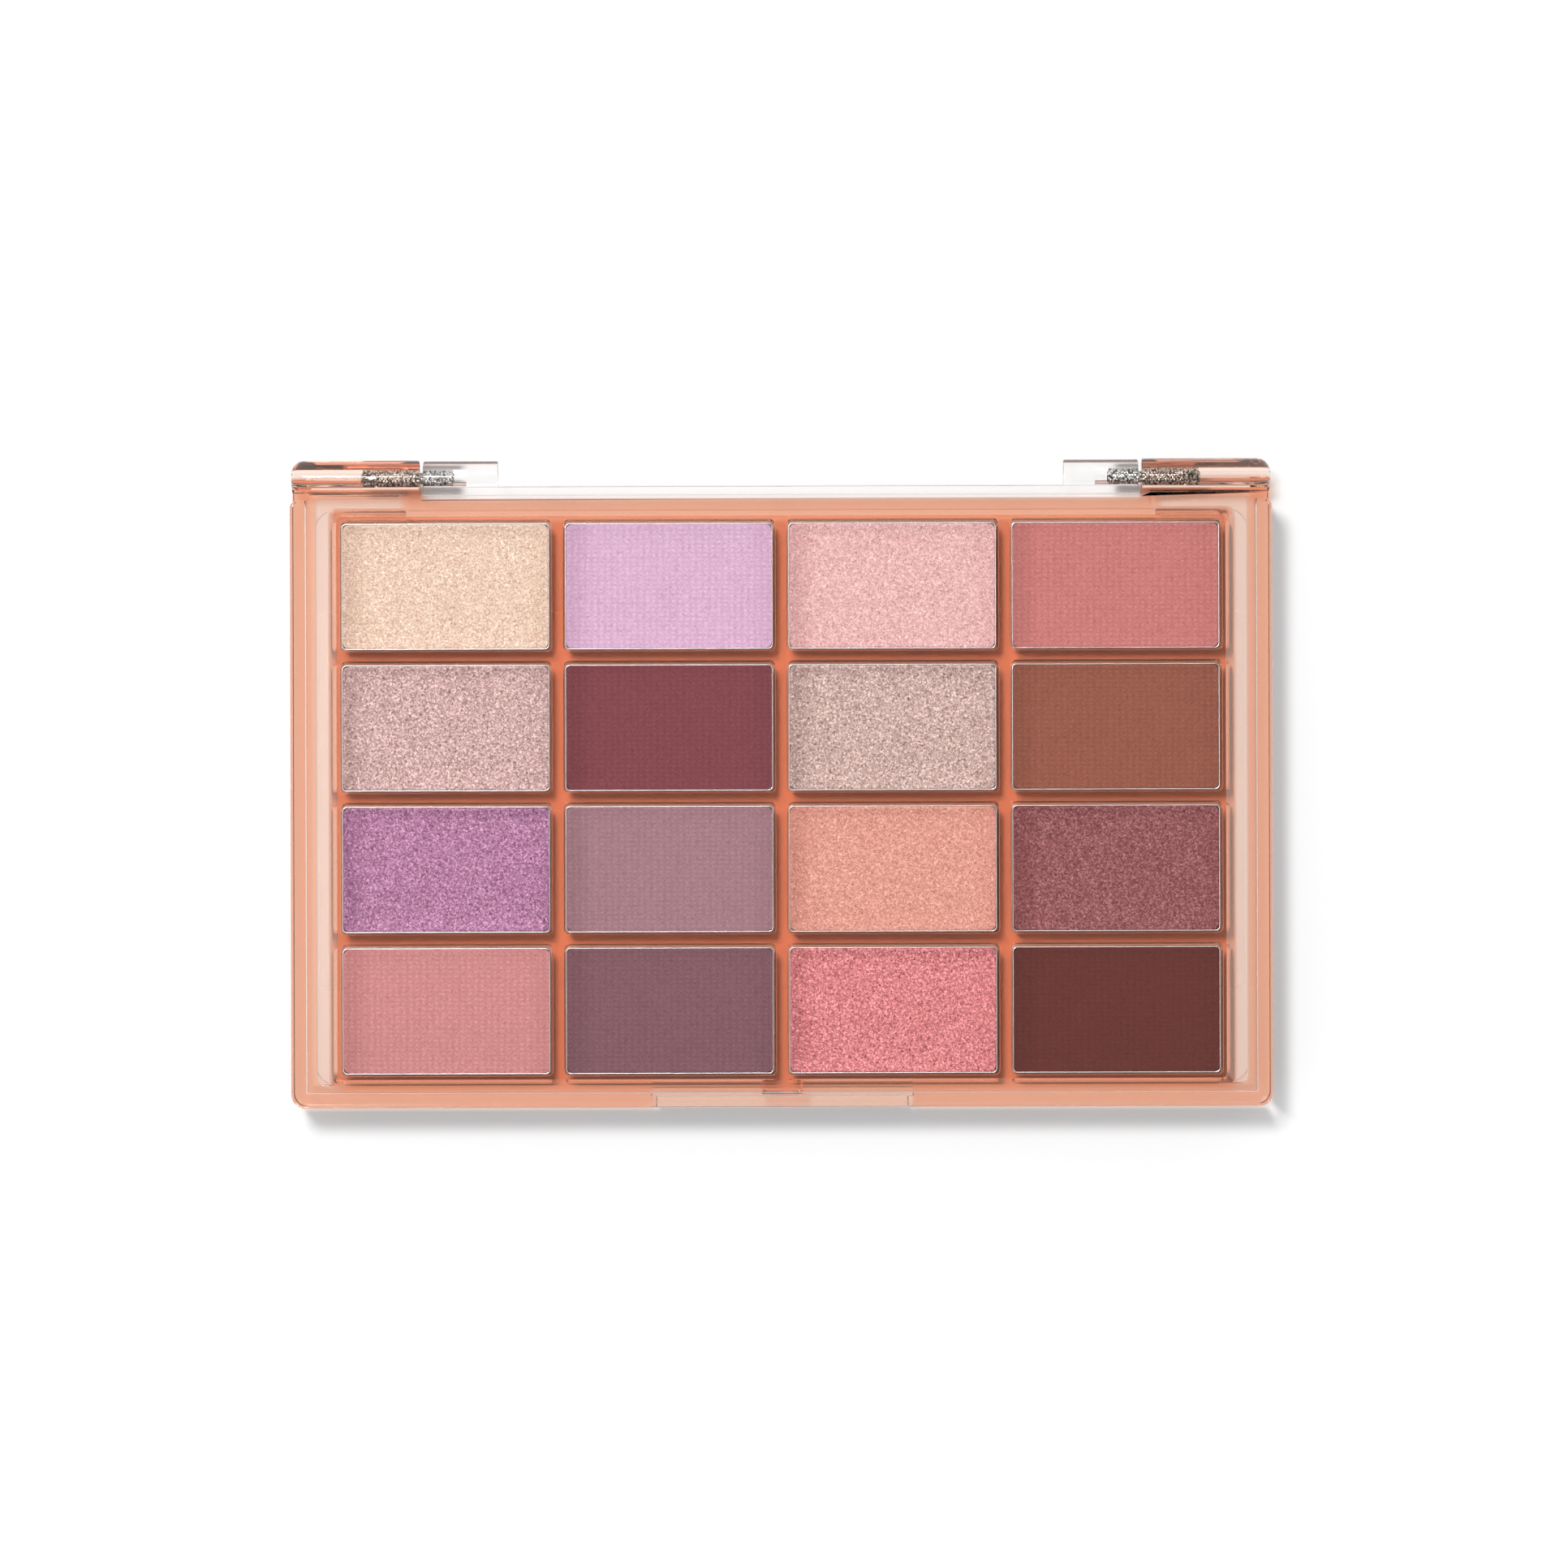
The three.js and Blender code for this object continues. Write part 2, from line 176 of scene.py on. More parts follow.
def mesh_object(name, verts, faces):
    mesh = bpy.data.meshes.new(name)
    mesh.from_pydata([Vector(v) * MM for v in verts], [], faces)
    mesh.update()
    made = bpy.data.objects.new(name, mesh)
    bpy.context.scene.collection.objects.link(made)
    return made


def lofted(loops):
    """Vertices and faces of a closed solid from loops of equal length, the first and last capped."""
    count = len(loops[0])
    verts = [p for loop in loops for p in loop]
    faces = [tuple(reversed(range(count)))]
    for i in range(len(loops) - 1):
        low = i * count
        high = low + count
        for k in range(count):
            after = (k + 1) % count
            faces.append((low + k, low + after, high + after, high + k))
    faces.append(tuple(range(len(verts) - count, len(verts))))
    return verts, faces


def prism(points, bottom, top):
    return lofted([[(p[0], p[1], z) for p in points] for z in (bottom, top)])


def at_height(points, z):
    return [(p.x, p.y, z) for p in points]


def block(left, front, bottom, right, back, top):
    return prism([(left, front), (right, front), (right, back), (left, back)], bottom, top)


def side_block(side, inner, front, bottom, outer, back, top):
    left, right = sorted((side * inner, side * outer))
    return block(left, front, bottom, right, back, top)


def full_turn(sides):
    return [math.tau * k / sides for k in range(sides)]


def bar(stations, sides=BARREL_SIDES):
    """A round bar along X on the hinge axis, from (x, radius) stations of rising x."""
    return lofted([[(x, AXIS_Y + radius * math.cos(a), AXIS_Z + radius * math.sin(a))
                    for a in full_turn(sides)] for x, radius in stations])


def run_along_x(side, inner, outer, profile):
    """A solid with a constant (y, z) profile between two x positions on one side."""
    left, right = sorted((side * inner, side * outer))
    return lofted([[(x, y, z) for y, z in profile] for x in (left, right)])


def side_bar(side, stations, sides=BARREL_SIDES):
    """A round bar on the hinge axis of one side, from (distance from the middle, radius) stations."""
    placed = [(side * x, radius) for x, radius in stations]
    return bar(sorted(placed, key=lambda station: station[0]), sides)


def side_name(side):
    return "right" if side > 0 else "left"


def together(name, shapes):
    """One object from several (vertices, faces) shapes that stay clear of each other."""
    verts, faces = [], []
    for part_verts, part_faces in shapes:
        start = len(verts)
        verts += part_verts
        faces += [tuple(start + i for i in face) for face in part_faces]
    return mesh_object(name, verts, faces)


def baked(target):
    """Turns the modifiers of an object into its mesh."""
    graph = bpy.context.evaluated_depsgraph_get()
    mesh = bpy.data.meshes.new_from_object(target.evaluated_get(graph))
    target.modifiers.clear()
    target.data = mesh
    return target


def boolean(target, shapes, operation):
    """Joins or cuts an object with other shapes, which may also be given as one object."""
    tool = shapes if isinstance(shapes, bpy.types.Object) else together("tool", shapes)
    step = target.modifiers.new("boolean", "BOOLEAN")
    step.operation = operation
    step.solver = "EXACT"
    step.object = tool
    baked(target)
    bpy.data.objects.remove(tool)
    return target


def add(target, shapes):
    return boolean(target, shapes, "UNION")


def cut(target, shapes):
    return boolean(target, shapes, "DIFFERENCE")


def clean(target):
    """Merges doubled points and flat neighbouring faces, and turns every face outwards."""
    work = bmesh.new()
    work.from_mesh(target.data)
    bmesh.ops.remove_doubles(work, verts=work.verts, dist=1e-6)
    bmesh.ops.dissolve_limit(work, angle_limit=math.radians(0.5), verts=work.verts, edges=work.edges)
    bmesh.ops.recalc_face_normals(work, faces=work.faces)
    work.to_mesh(target.data)
    work.free()
    return target


def rounded_edges(target, widest, share_of, segments=4, sharp_degrees=25):
    """Rounds sharp edges. share_of(middle in mm) gives each edge's share of the widest rounding."""
    clean(target)
    work = bmesh.new()
    work.from_mesh(target.data)
    layer = work.edges.layers.float.new("bevel_weight_edge")
    for edge in work.edges:
        if len(edge.link_faces) == 2 and edge.calc_face_angle(0) > math.radians(sharp_degrees):
            edge[layer] = share_of((edge.verts[0].co + edge.verts[1].co) / 2 / MM)
    work.to_mesh(target.data)
    work.free()
    step = target.modifiers.new("bevel", "BEVEL")
    step.width = widest * MM
    step.limit_method = "WEIGHT"
    step.segments = segments
    step.use_clamp_overlap = False
    step.miter_outer = "MITER_ARC"
    baked(target)
    return target


def smooth(target, sharp_degrees=38):
    """Smooth shading with sharp edges kept, and flat faces left flat."""
    mesh = target.data
    mesh.shade_smooth()
    mesh.set_sharp_from_angle(angle=math.radians(sharp_degrees))
    step = target.modifiers.new("normals", "WEIGHTED_NORMAL")
    step.keep_sharp = True
    step.weight = 100
    baked(target)
    return target


# ---------- materials ----------

def tree_of(name):
    made = bpy.data.materials.new(name)
    made.use_nodes = True
    nodes = made.node_tree.nodes
    nodes.clear()
    out = nodes.new("ShaderNodeOutputMaterial")
    return made, nodes, made.node_tree.links, out


def node(nodes, kind, **values):
    """A new node with its properties and unlinked inputs set. An underscore stands for a space."""
    made = nodes.new(kind)
    for key, value in values.items():
        if hasattr(made, key):
            setattr(made, key, value)
        else:
            made.inputs[key.replace("_", " ")].default_value = value
    return made


def principled(nodes, **values):
    return node(nodes, "ShaderNodeBsdfPrincipled", **values)


def remap(nodes, links, source, low, high, to_low, to_high):
    made = node(nodes, "ShaderNodeMapRange", From_Min=low, From_Max=high, To_Min=to_low, To_Max=to_high)
    links.new(source, made.inputs["Value"])
    return made.outputs[0]


def combine(nodes, links, operation, first, second):
    made = node(nodes, "ShaderNodeMath", operation=operation)
    for slot, value in enumerate((first, second)):
        if isinstance(value, (int, float)):
            made.inputs[slot].default_value = value
        else:
            links.new(value, made.inputs[slot])
    return made.outputs[0]


def color_ramp(nodes, links, source, first, *others):
    """A ramp through two or more (position, colour) stops."""
    ramp = nodes.new("ShaderNodeValToRGB")
    stops = ramp.color_ramp.elements
    for stop, (position, color) in zip(stops, (first, others[-1])):
        stop.position = position
        stop.color = (*color, 1)
    for position, color in others[:-1]:
        stops.new(position).color = (*color, 1)
    links.new(source, ramp.inputs[0])
    return ramp.outputs[0]


def add_bump(nodes, links, shader, height, strength, distance):
    bump = node(nodes, "ShaderNodeBump", Strength=strength, Distance=distance)
    links.new(height, bump.inputs["Height"])
    links.new(bump.outputs["Normal"], shader.inputs["Normal"])


def fine_bump(nodes, links, shader, scale, strength, distance, detail=3.0):
    """Makes a surface slightly uneven. Scale is in features per metre and distance in metres."""
    where = nodes.new("ShaderNodeTexCoord")
    noise = node(nodes, "ShaderNodeTexNoise", Scale=scale, Detail=detail)
    links.new(where.outputs["Object"], noise.inputs["Vector"])
    add_bump(nodes, links, shader, noise.outputs["Fac"], strength, distance)


def shadow_mix(nodes, links, glass, level_pass, wall_pass, rim_pass=None):
    """Glass to the eye that lets light rays straight through, fewer through upright walls.

    level_pass and wall_pass are the shares that level and upright faces let through. rim_pass is the
    most that the outermost faces at the right and the front let through.
    """
    shape = nodes.new("ShaderNodeNewGeometry")
    upright = nodes.new("ShaderNodeSeparateXYZ")
    links.new(shape.outputs["Normal"], upright.inputs[0])
    level = node(nodes, "ShaderNodeMath", operation="ABSOLUTE")
    links.new(upright.outputs["Z"], level.inputs[0])
    share = remap(nodes, links, level.outputs[0], 0.3, 0.9, wall_pass, level_pass)
    if rim_pass is not None:
        where = nodes.new("ShaderNodeTexCoord")
        split = nodes.new("ShaderNodeSeparateXYZ")
        links.new(where.outputs["Object"], split.inputs[0])
        right = remap(nodes, links, split.outputs["X"],
                      (HALF_WIDTH - 0.4) * MM, (HALF_WIDTH - 0.2) * MM, 1.0, rim_pass)
        front = remap(nodes, links, split.outputs["Y"],
                      (FRONT_Y + 0.15) * MM, (FRONT_Y + 0.35) * MM, rim_pass, 1.0)
        share = combine(nodes, links, "MINIMUM", share, combine(nodes, links, "MINIMUM", right, front))
    open_way = nodes.new("ShaderNodeBsdfTransparent")
    links.new(share, open_way.inputs["Color"])
    path = nodes.new("ShaderNodeLightPath")
    either = combine(nodes, links, "MAXIMUM", path.outputs["Is Shadow Ray"], path.outputs["Is Diffuse Ray"])
    mix = nodes.new("ShaderNodeMixShader")
    links.new(either, mix.inputs[0])
    links.new(glass.outputs[0], mix.inputs[1])
    links.new(open_way.outputs[0], mix.inputs[2])
    return mix


def glassy(nodes, roughness):
    return principled(nodes, Base_Color=(1, 1, 1, 1), Roughness=roughness, IOR=PLASTIC_IOR,
                      Transmission_Weight=1.0)


def tinted_plastic(name, density):
    """Peach plastic that colours what is seen through it more the thicker it is."""
    made, nodes, links, out = tree_of(name)
    shader = glassy(nodes, 0.015)
    fine_bump(nodes, links, shader, 180, 0.08, 0.00003, 1.0)
    mix = shadow_mix(nodes, links, shader, level_pass=1.0, wall_pass=0.78)
    links.new(mix.outputs[0], out.inputs["Surface"])
    volume = node(nodes, "ShaderNodeVolumeAbsorption", Color=PLASTIC_TINT, Density=density)
    links.new(volume.outputs[0], out.inputs["Volume"])
    return made


def clear_plastic():
    made, nodes, links, out = tree_of("clear_plastic")
    shader = glassy(nodes, 0.01)
    fine_bump(nodes, links, shader, 150, 0.08, 0.00002, 1.0)
    mix = shadow_mix(nodes, links, shader, level_pass=1.0, wall_pass=0.9, rim_pass=0.3)
    links.new(mix.outputs[0], out.inputs["Surface"])
    return made


def metal(name, color, roughness, scale):
    made, nodes, links, out = tree_of(name)
    shader = principled(nodes, Base_Color=(*color, 1), Roughness=roughness, Metallic=1.0)
    fine_bump(nodes, links, shader, scale, 0.35, 0.00003)
    links.new(shader.outputs[0], out.inputs["Surface"])
    return made


def label_film():
    made, nodes, links, out = tree_of("label_film")
    shader = principled(nodes, Base_Color=(0.96, 0.96, 0.95, 1), Roughness=0.25, Alpha=0.12)
    fine_bump(nodes, links, shader, 900, 0.3, 0.00002)
    links.new(shader.outputs[0], out.inputs["Surface"])
    return made


def knurled_steel():
    """Steel, finely mottled dark and bright at the knurl's scale: painted shade of its grooves and painted
    highlights of its ridges.
    """
    made, nodes, links, out = tree_of("knurled_steel")
    shader = principled(nodes, Roughness=0.22, Metallic=1.0)
    where = nodes.new("ShaderNodeTexCoord")
    noise = node(nodes, "ShaderNodeTexNoise", Scale=4200.0, Detail=2.0, Roughness=0.7)
    links.new(where.outputs["Object"], noise.inputs["Vector"])
    # Painted shade and highlights of the knurl, as dark and bright specks.
    shade = color_ramp(nodes, links, noise.outputs["Fac"],
                       (0.42, (0.05, 0.045, 0.04)), (0.6, (0.86, 0.84, 0.8)))
    links.new(shade, shader.inputs["Base Color"])
    add_bump(nodes, links, shader, noise.outputs["Fac"], 0.6, 0.00005)
    links.new(shader.outputs[0], out.inputs["Surface"])
    return made


def set_glue():
    made, nodes, links, out = tree_of("set_glue")
    shader = principled(nodes, Base_Color=(0.86, 0.84, 0.76, 1), Roughness=0.35)
    fine_bump(nodes, links, shader, 700, 0.5, 0.00005)
    links.new(shader.outputs[0], out.inputs["Surface"])
    return made


# For each finish: grain contrast, grain size in mm, weave, painted sparkle (bright flakes and a whiter pale
# end painted as glints), metallic, roughness, bump.
POWDER_LOOKS = {
    "matte": (0.3, 0.24, 0.09, 0.0, 0.0, 0.9, 0.4),
    "satin": (0.95, 0.24, 0.03, 0.5, 0.05, 0.7, 0.4),
    "shimmer": (0.6, 0.24, 0.0, 0.5, 0.08, 0.65, 0.45),
    "glitter": (0.95, 0.26, 0.0, 1.1, 0.1, 0.6, 0.5),
}
WEAVE_PITCHES = (("X", 0.8), ("Y", 0.56))
WAVE_SCALE = math.tau / 20  # the wave texture's scale that gives one band per unit of length
FLAKE_SIZE = 0.17


def linen(nodes, links, spot):
    """The imprint of the pressing cloth: two crossed sets of threads."""
    threads = []
    for axis, pitch in WEAVE_PITCHES:
        wave = node(nodes, "ShaderNodeTexWave", bands_direction=axis, Scale=WAVE_SCALE / (pitch * MM),
                    Distortion=0.8, Detail=1.0, Detail_Scale=1.2)
        links.new(spot, wave.inputs["Vector"])
        threads.append(wave.outputs["Fac"])
    return combine(nodes, links, "MULTIPLY", *threads)


def painted_flake_glints(nodes, links, spot, painted_sparkle):
    """Painted glints on a few bright flakes, and a few dim flakes, as a change of tone."""
    flakes = node(nodes, "ShaderNodeTexVoronoi", Scale=1 / (FLAKE_SIZE * MM))
    links.new(spot, flakes.inputs["Vector"])
    chance = nodes.new("ShaderNodeSeparateColor")
    links.new(flakes.outputs["Color"], chance.inputs[0])
    # Bright flakes: painted glints.
    painted_glint = remap(nodes, links, chance.outputs["Red"], 0.86, 1.0, 0.0, painted_sparkle)
    dim = remap(nodes, links, chance.outputs["Green"], 0.0, 0.12, -0.5 * painted_sparkle, 0.0)
    return combine(nodes, links, "ADD", painted_glint, dim)


def painted_side_shade(nodes, links, position, middle_x):
    """Painted shade darkening the powder along the left and right sides of a pan."""
    across = nodes.new("ShaderNodeSeparateXYZ")
    links.new(position, across.inputs[0])
    left_end = (middle_x - PAN_WIDTH / 2) * MM
    right_end = (middle_x + PAN_WIDTH / 2) * MM
    left = remap(nodes, links, across.outputs["X"], left_end + 1.6 * MM, left_end + 3.4 * MM, 0.84, 1.0)
    right = remap(nodes, links, across.outputs["X"], right_end - 3 * MM, right_end - 1 * MM, 1.0, 0.9)
    return combine(nodes, links, "MULTIPLY", left, right)


def powder_material(name, color, finish, seed, middle_x):
    """Pressed powder, its tone varied by grains, a linen imprint, flakes with painted glints, and painted
    shade along its sides.
    """
    contrast, grain_size, weave, painted_sparkle, metallic, roughness, relief = POWDER_LOOKS[finish]
    made, nodes, links, out = tree_of(name)
    where = nodes.new("ShaderNodeTexCoord")
    shift = node(nodes, "ShaderNodeMapping", Location=(seed * 0.37, seed * 0.61, 0))
    links.new(where.outputs["Object"], shift.inputs["Vector"])
    spot = shift.outputs[0]
    shader = principled(nodes, Base_Color=(*color, 1), Roughness=roughness, Metallic=metallic,
                        Specular_IOR_Level=0.25)
    grain = node(nodes, "ShaderNodeTexNoise", Scale=1 / (grain_size * MM), Detail=2.0, Roughness=0.65,
                 Distortion=1.1)
    links.new(spot, grain.inputs["Vector"])
    cloud = node(nodes, "ShaderNodeTexNoise", Scale=220.0, Detail=2.0)
    links.new(spot, cloud.inputs["Vector"])
    tone = remap(nodes, links, grain.outputs["Fac"], 0.3, 0.7, 1 - contrast, 1 + contrast)
    patch = remap(nodes, links, cloud.outputs["Fac"], 0.3, 0.7, 0.975, 1.025)
    tone = combine(nodes, links, "MULTIPLY", tone, patch)
    height = grain.outputs["Fac"]
    if weave:
        imprint = linen(nodes, links, spot)
        tone = combine(nodes, links, "MULTIPLY", tone,
                       remap(nodes, links, imprint, 0.0, 1.0, 1 - weave, 1 + weave * 1.4))
        height = combine(nodes, links, "ADD", height, combine(nodes, links, "MULTIPLY", imprint, 0.3))
    if painted_sparkle:
        tone = combine(nodes, links, "ADD", tone, painted_flake_glints(nodes, links, spot, painted_sparkle))
    # Painted shade: the tone is darkened along the pan's left and right sides.
    sides = painted_side_shade(nodes, links, where.outputs["Object"], middle_x)
    tone = combine(nodes, links, "MULTIPLY", tone, sides)
    deep = [0.3 * c * c / max(color) for c in color]
    # For sparkling finishes the pale end is whitened further, as a painted glint.
    pale = [min(1.0, 1.7 * c + 0.14 * bool(painted_sparkle)) for c in color]
    shade = color_ramp(nodes, links, combine(nodes, links, "MULTIPLY", tone, 0.5),
                       (0.0, deep), (0.5, color), (1.0, pale))
    links.new(shade, shader.inputs["Base Color"])
    add_bump(nodes, links, shader, height, relief, 0.00005)
    links.new(shader.outputs[0], out.inputs["Surface"])
    return made


def paint(target, material):
    target.data.materials.clear()
    target.data.materials.append(material)
    return target


# ---------- base tray ----------

def base_plan():
    return outline([
        (-HALF_WIDTH, FRONT_Y, CASE_CORNER),
        (HALF_WIDTH, FRONT_Y, CASE_CORNER),
        (HALF_WIDTH, REAR_WALL_BACK_Y, 0),
        (BASE_BARREL_INNER_X, REAR_WALL_BACK_Y, 0),
        (BASE_BARREL_INNER_X, BASE_BACK_Y, 0),
        (-BASE_BARREL_INNER_X, BASE_BACK_Y, 0),
        (-BASE_BARREL_INNER_X, REAR_WALL_BACK_Y, 0),
        (-HALF_WIDTH, REAR_WALL_BACK_Y, 0),
    ])


def moat(side):
    """The channel down one side and round the back corner, with sloping walls."""
    root_x = FRAME_TOP_LIMITS[2] - CUT
    root_y = FRAME_TOP_LIMITS[3] - CUT
    loops = []
    for share in (0, 2):  # from the floor to as far again above the parting line
        inner, front, outer, back = (low + (high - low) * share
                                     for low, high in zip(MOAT_FLOOR_LIMITS, MOAT_TOP_LIMITS))
        points = outline([(root_x, front, 0), (outer, front, 0.8), (outer, back, 0.5),
                          (inner, back, 0.3), (inner, root_y, 0), (root_x, root_y, 0)], 5)
        height = FLOOR_TOP + (PARTING_Z - FLOOR_TOP) * share
        loops.append([(side * p.x, p.y, height) for p in (points if side > 0 else reversed(points))])
    return lofted(loops)


def cells():
    """The name and the middle of each well, row by row from the back left."""
    for row in range(4):
        for column in range(4):
            yield (f"r{row + 1}c{column + 1}", (column - 1.5) * COLUMN_PITCH,
                   GRID_CENTRE_Y - (row - 1.5) * ROW_PITCH)


def well(x, y):
    """One pocket for a pan, its walls leaning in towards the floor."""
    loops = []
    for z in (FLOOR_TOP, FRAME_TOP + CUT):
        depth = (FRAME_TOP - z) / (FRAME_TOP - FLOOR_TOP)
        left, front, right, back = (lean * depth for lean in WELL_LEAN)
        loops.append(at_height(rounded_rectangle(
            x - WELL_WIDTH / 2 + left, y - WELL_DEPTH / 2 + front,
            x + WELL_WIDTH / 2 - right, y + WELL_DEPTH / 2 - back, WELL_CORNER, 6), z))
    return lofted(loops)


def frame_block():
    """The block that holds the wells, sloping in to its top, and upright at the back between the hinges."""
    foot = rounded_rectangle(*FRAME_FOOT_LIMITS, 0.9, 5)
    crown = rounded_rectangle(*FRAME_TOP_LIMITS, 0.6, 5)
    root = [low + (low - high) * ROOT_Z / (FRAME_TOP - FLOOR_TOP) for low, high in zip(foot, crown)]
    walls = together("frame", [lofted([at_height(root, ROOT_Z), at_height(crown, FRAME_TOP)])])
    return cut(walls, [block(-FRAME_BACK_STEP_X, FRAME_TOP_LIMITS[3], PARTING_Z - OVERLAP,
                             FRAME_BACK_STEP_X, BASE_BACK_Y, FRAME_TOP + CUT)])


def latch_lug():
    """The upright lug in the thumb recess, rounded in steps at its top."""
    rounding = ((0, LUG_BOTTOM), (0, LUG_TOP - 0.7), (0.12, LUG_TOP - 0.35), (0.38, LUG_TOP))
    back = FRAME_FOOT_LIMITS[1] + CUT
    loops = []
    for inset, z in rounding:
        half = LUG_HALF_WIDTH - inset
        front = LUG_FRONT_Y + inset
        loops.append(at_height(outline([(-half, front, 0.3), (half, front, 0.3), (half, back, 0),
                                        (-half, back, 0)]), z))
    return lofted(loops)


def tray_edge_share(middle):
    """How much each edge of the tray is rounded, by where it is."""
    _, front, right, back = LABEL_RECESS
    beside = 0.1
    in_recess = abs(middle.x) < right + beside and front - beside < middle.y < back + beside
    if middle.z < LABEL_RECESS_DEPTH + NEAR and in_recess:
        return 0.12
    if middle.z < NEAR:
        return 1.0
    if middle.y > BASE_BACK_Y + 0.4:
        return 0.2
    if middle.z > FRAME_TOP - NEAR:
        return 0.3
    return 0.35


def base_tray():
    """The tray in one piece, except for the round of its two hinge barrels."""
    sides = (-1, 1)
    tray = together("base_tray_shell", [prism(base_plan(), 0, PARTING_Z)])
    cut(tray, [moat(side) for side in sides])
    add(tray, frame_block())
    wall_profile = [(MOAT_FLOOR_LIMITS[3] - 0.05, ROOT_Z), (REAR_WALL_BACK_Y, ROOT_Z),
                    (REAR_WALL_BACK_Y, AXIS_Z), (REAR_WALL_TOP_Y, AXIS_Z)]
    add(tray, [run_along_x(side, BASE_BARREL_INNER_X, HALF_WIDTH, wall_profile) for side in sides])
    cut(tray, [well(x, y) for _, x, y in cells()])
    cut(tray, [prism(rounded_rectangle(*LABEL_RECESS, LABEL_RECESS_CORNER), -CUT, LABEL_RECESS_DEPTH)])
    cut(tray, [block(-RECESS_HALF_WIDTH, FRONT_Y - CUT, RECESS_LIP_TOP, RECESS_HALF_WIDTH,
                     FRAME_FOOT_LIMITS[1], PARTING_Z + CUT)])
    rounded_edges(tray, 0.36, tray_edge_share)
    add(tray, [latch_lug()])
    add(tray, [side_block(side, END_WEB_INNER_X, REAR_WALL_BACK_Y - OVERLAP, 0.3, HALF_WIDTH, AXIS_Y, AXIS_Z)
               for side in sides])
    room = BASE_BARREL_RADIUS + BARREL_GAP
    cut(tray, [side_bar(side, [(BASE_BARREL_INNER_X - CUT, room), (HALF_WIDTH + CUT, room)])
               for side in sides])
    return smooth(tray)


def base_barrel(side):
    """The tray's thin-walled hinge barrel, domed at its outer end and cut flush at the front."""
    edge = 0.25
    dome = 1.65
    steps = 10
    turns = [math.pi / 2 * k / steps for k in range(steps + 1)]
    barrel = together(f"hinge_barrel_{side_name(side)}", [side_bar(side, [
        (BASE_BARREL_INNER_X, BASE_BARREL_RADIUS - edge),
        (BASE_BARREL_INNER_X + edge * 0.3, BASE_BARREL_RADIUS - edge * 0.3),
        (BASE_BARREL_INNER_X + edge, BASE_BARREL_RADIUS),
        *((HALF_WIDTH - dome + dome * math.sin(t), BASE_BARREL_RADIUS - dome + dome * math.cos(t))
          for t in turns),
    ])])
    cut(barrel, [block(-HALF_WIDTH - CUT, BASE_BACK_Y - CUT, 0,
                       HALF_WIDTH + CUT, REAR_WALL_TOP_Y + BARREL_GAP, CASE_HEIGHT)])
    cut(barrel, [side_bar(side, [(PIN_OUTER_X - 0.2, PIN_RADIUS), (HALF_WIDTH + CUT, PIN_RADIUS)],
                          BORE_SIDES)])
    return smooth(barrel)


# ---------- lid ----------

def lid_plan():
    return outline([
        (-HALF_WIDTH, FRONT_Y, CASE_CORNER),
        (HALF_WIDTH, FRONT_Y, CASE_CORNER),
        (HALF_WIDTH, LID_SIDE_BACK_Y, CASE_CORNER / 2),
        (LID_BARREL_OUTER_X, LID_SIDE_BACK_Y, 0),
        (LID_BARREL_OUTER_X, LID_BACK_Y, 0),
        (-LID_BARREL_OUTER_X, LID_BACK_Y, 0),
        (-LID_BARREL_OUTER_X, LID_SIDE_BACK_Y, 0),
        (-HALF_WIDTH, LID_SIDE_BACK_Y, CASE_CORNER / 2),
    ])


def lid_edge_share(middle):
    """How much each edge of the lid is rounded, by where it is."""
    if middle.y > LID_SIDE_BACK_Y - 0.1:
        return 0.15 if abs(middle.x) < LID_BARREL_OUTER_X - 0.1 else 0.0
    if middle.z > CASE_HEIGHT - NEAR:
        return 1.0
    if middle.z < LUG_TOP + CUT + 0.2 and abs(middle.x) < RECESS_HALF_WIDTH + 0.3:
        return 0.25
    return 0.35


def knuckle_profile(edge=0.2):
    """Stations of a lid knuckle, with its two ends chamfered in two steps."""
    near_edge = edge * 0.3
    return [
        (LID_BARREL_INNER_X, LID_BARREL_RADIUS - edge),
        (LID_BARREL_INNER_X + near_edge, LID_BARREL_RADIUS - near_edge),
        (LID_BARREL_INNER_X + edge, LID_BARREL_RADIUS),
        (LID_BARREL_OUTER_X - edge, LID_BARREL_RADIUS),
        (LID_BARREL_OUTER_X - near_edge, LID_BARREL_RADIUS - near_edge),
        (LID_BARREL_OUTER_X, LID_BARREL_RADIUS - edge),
    ]


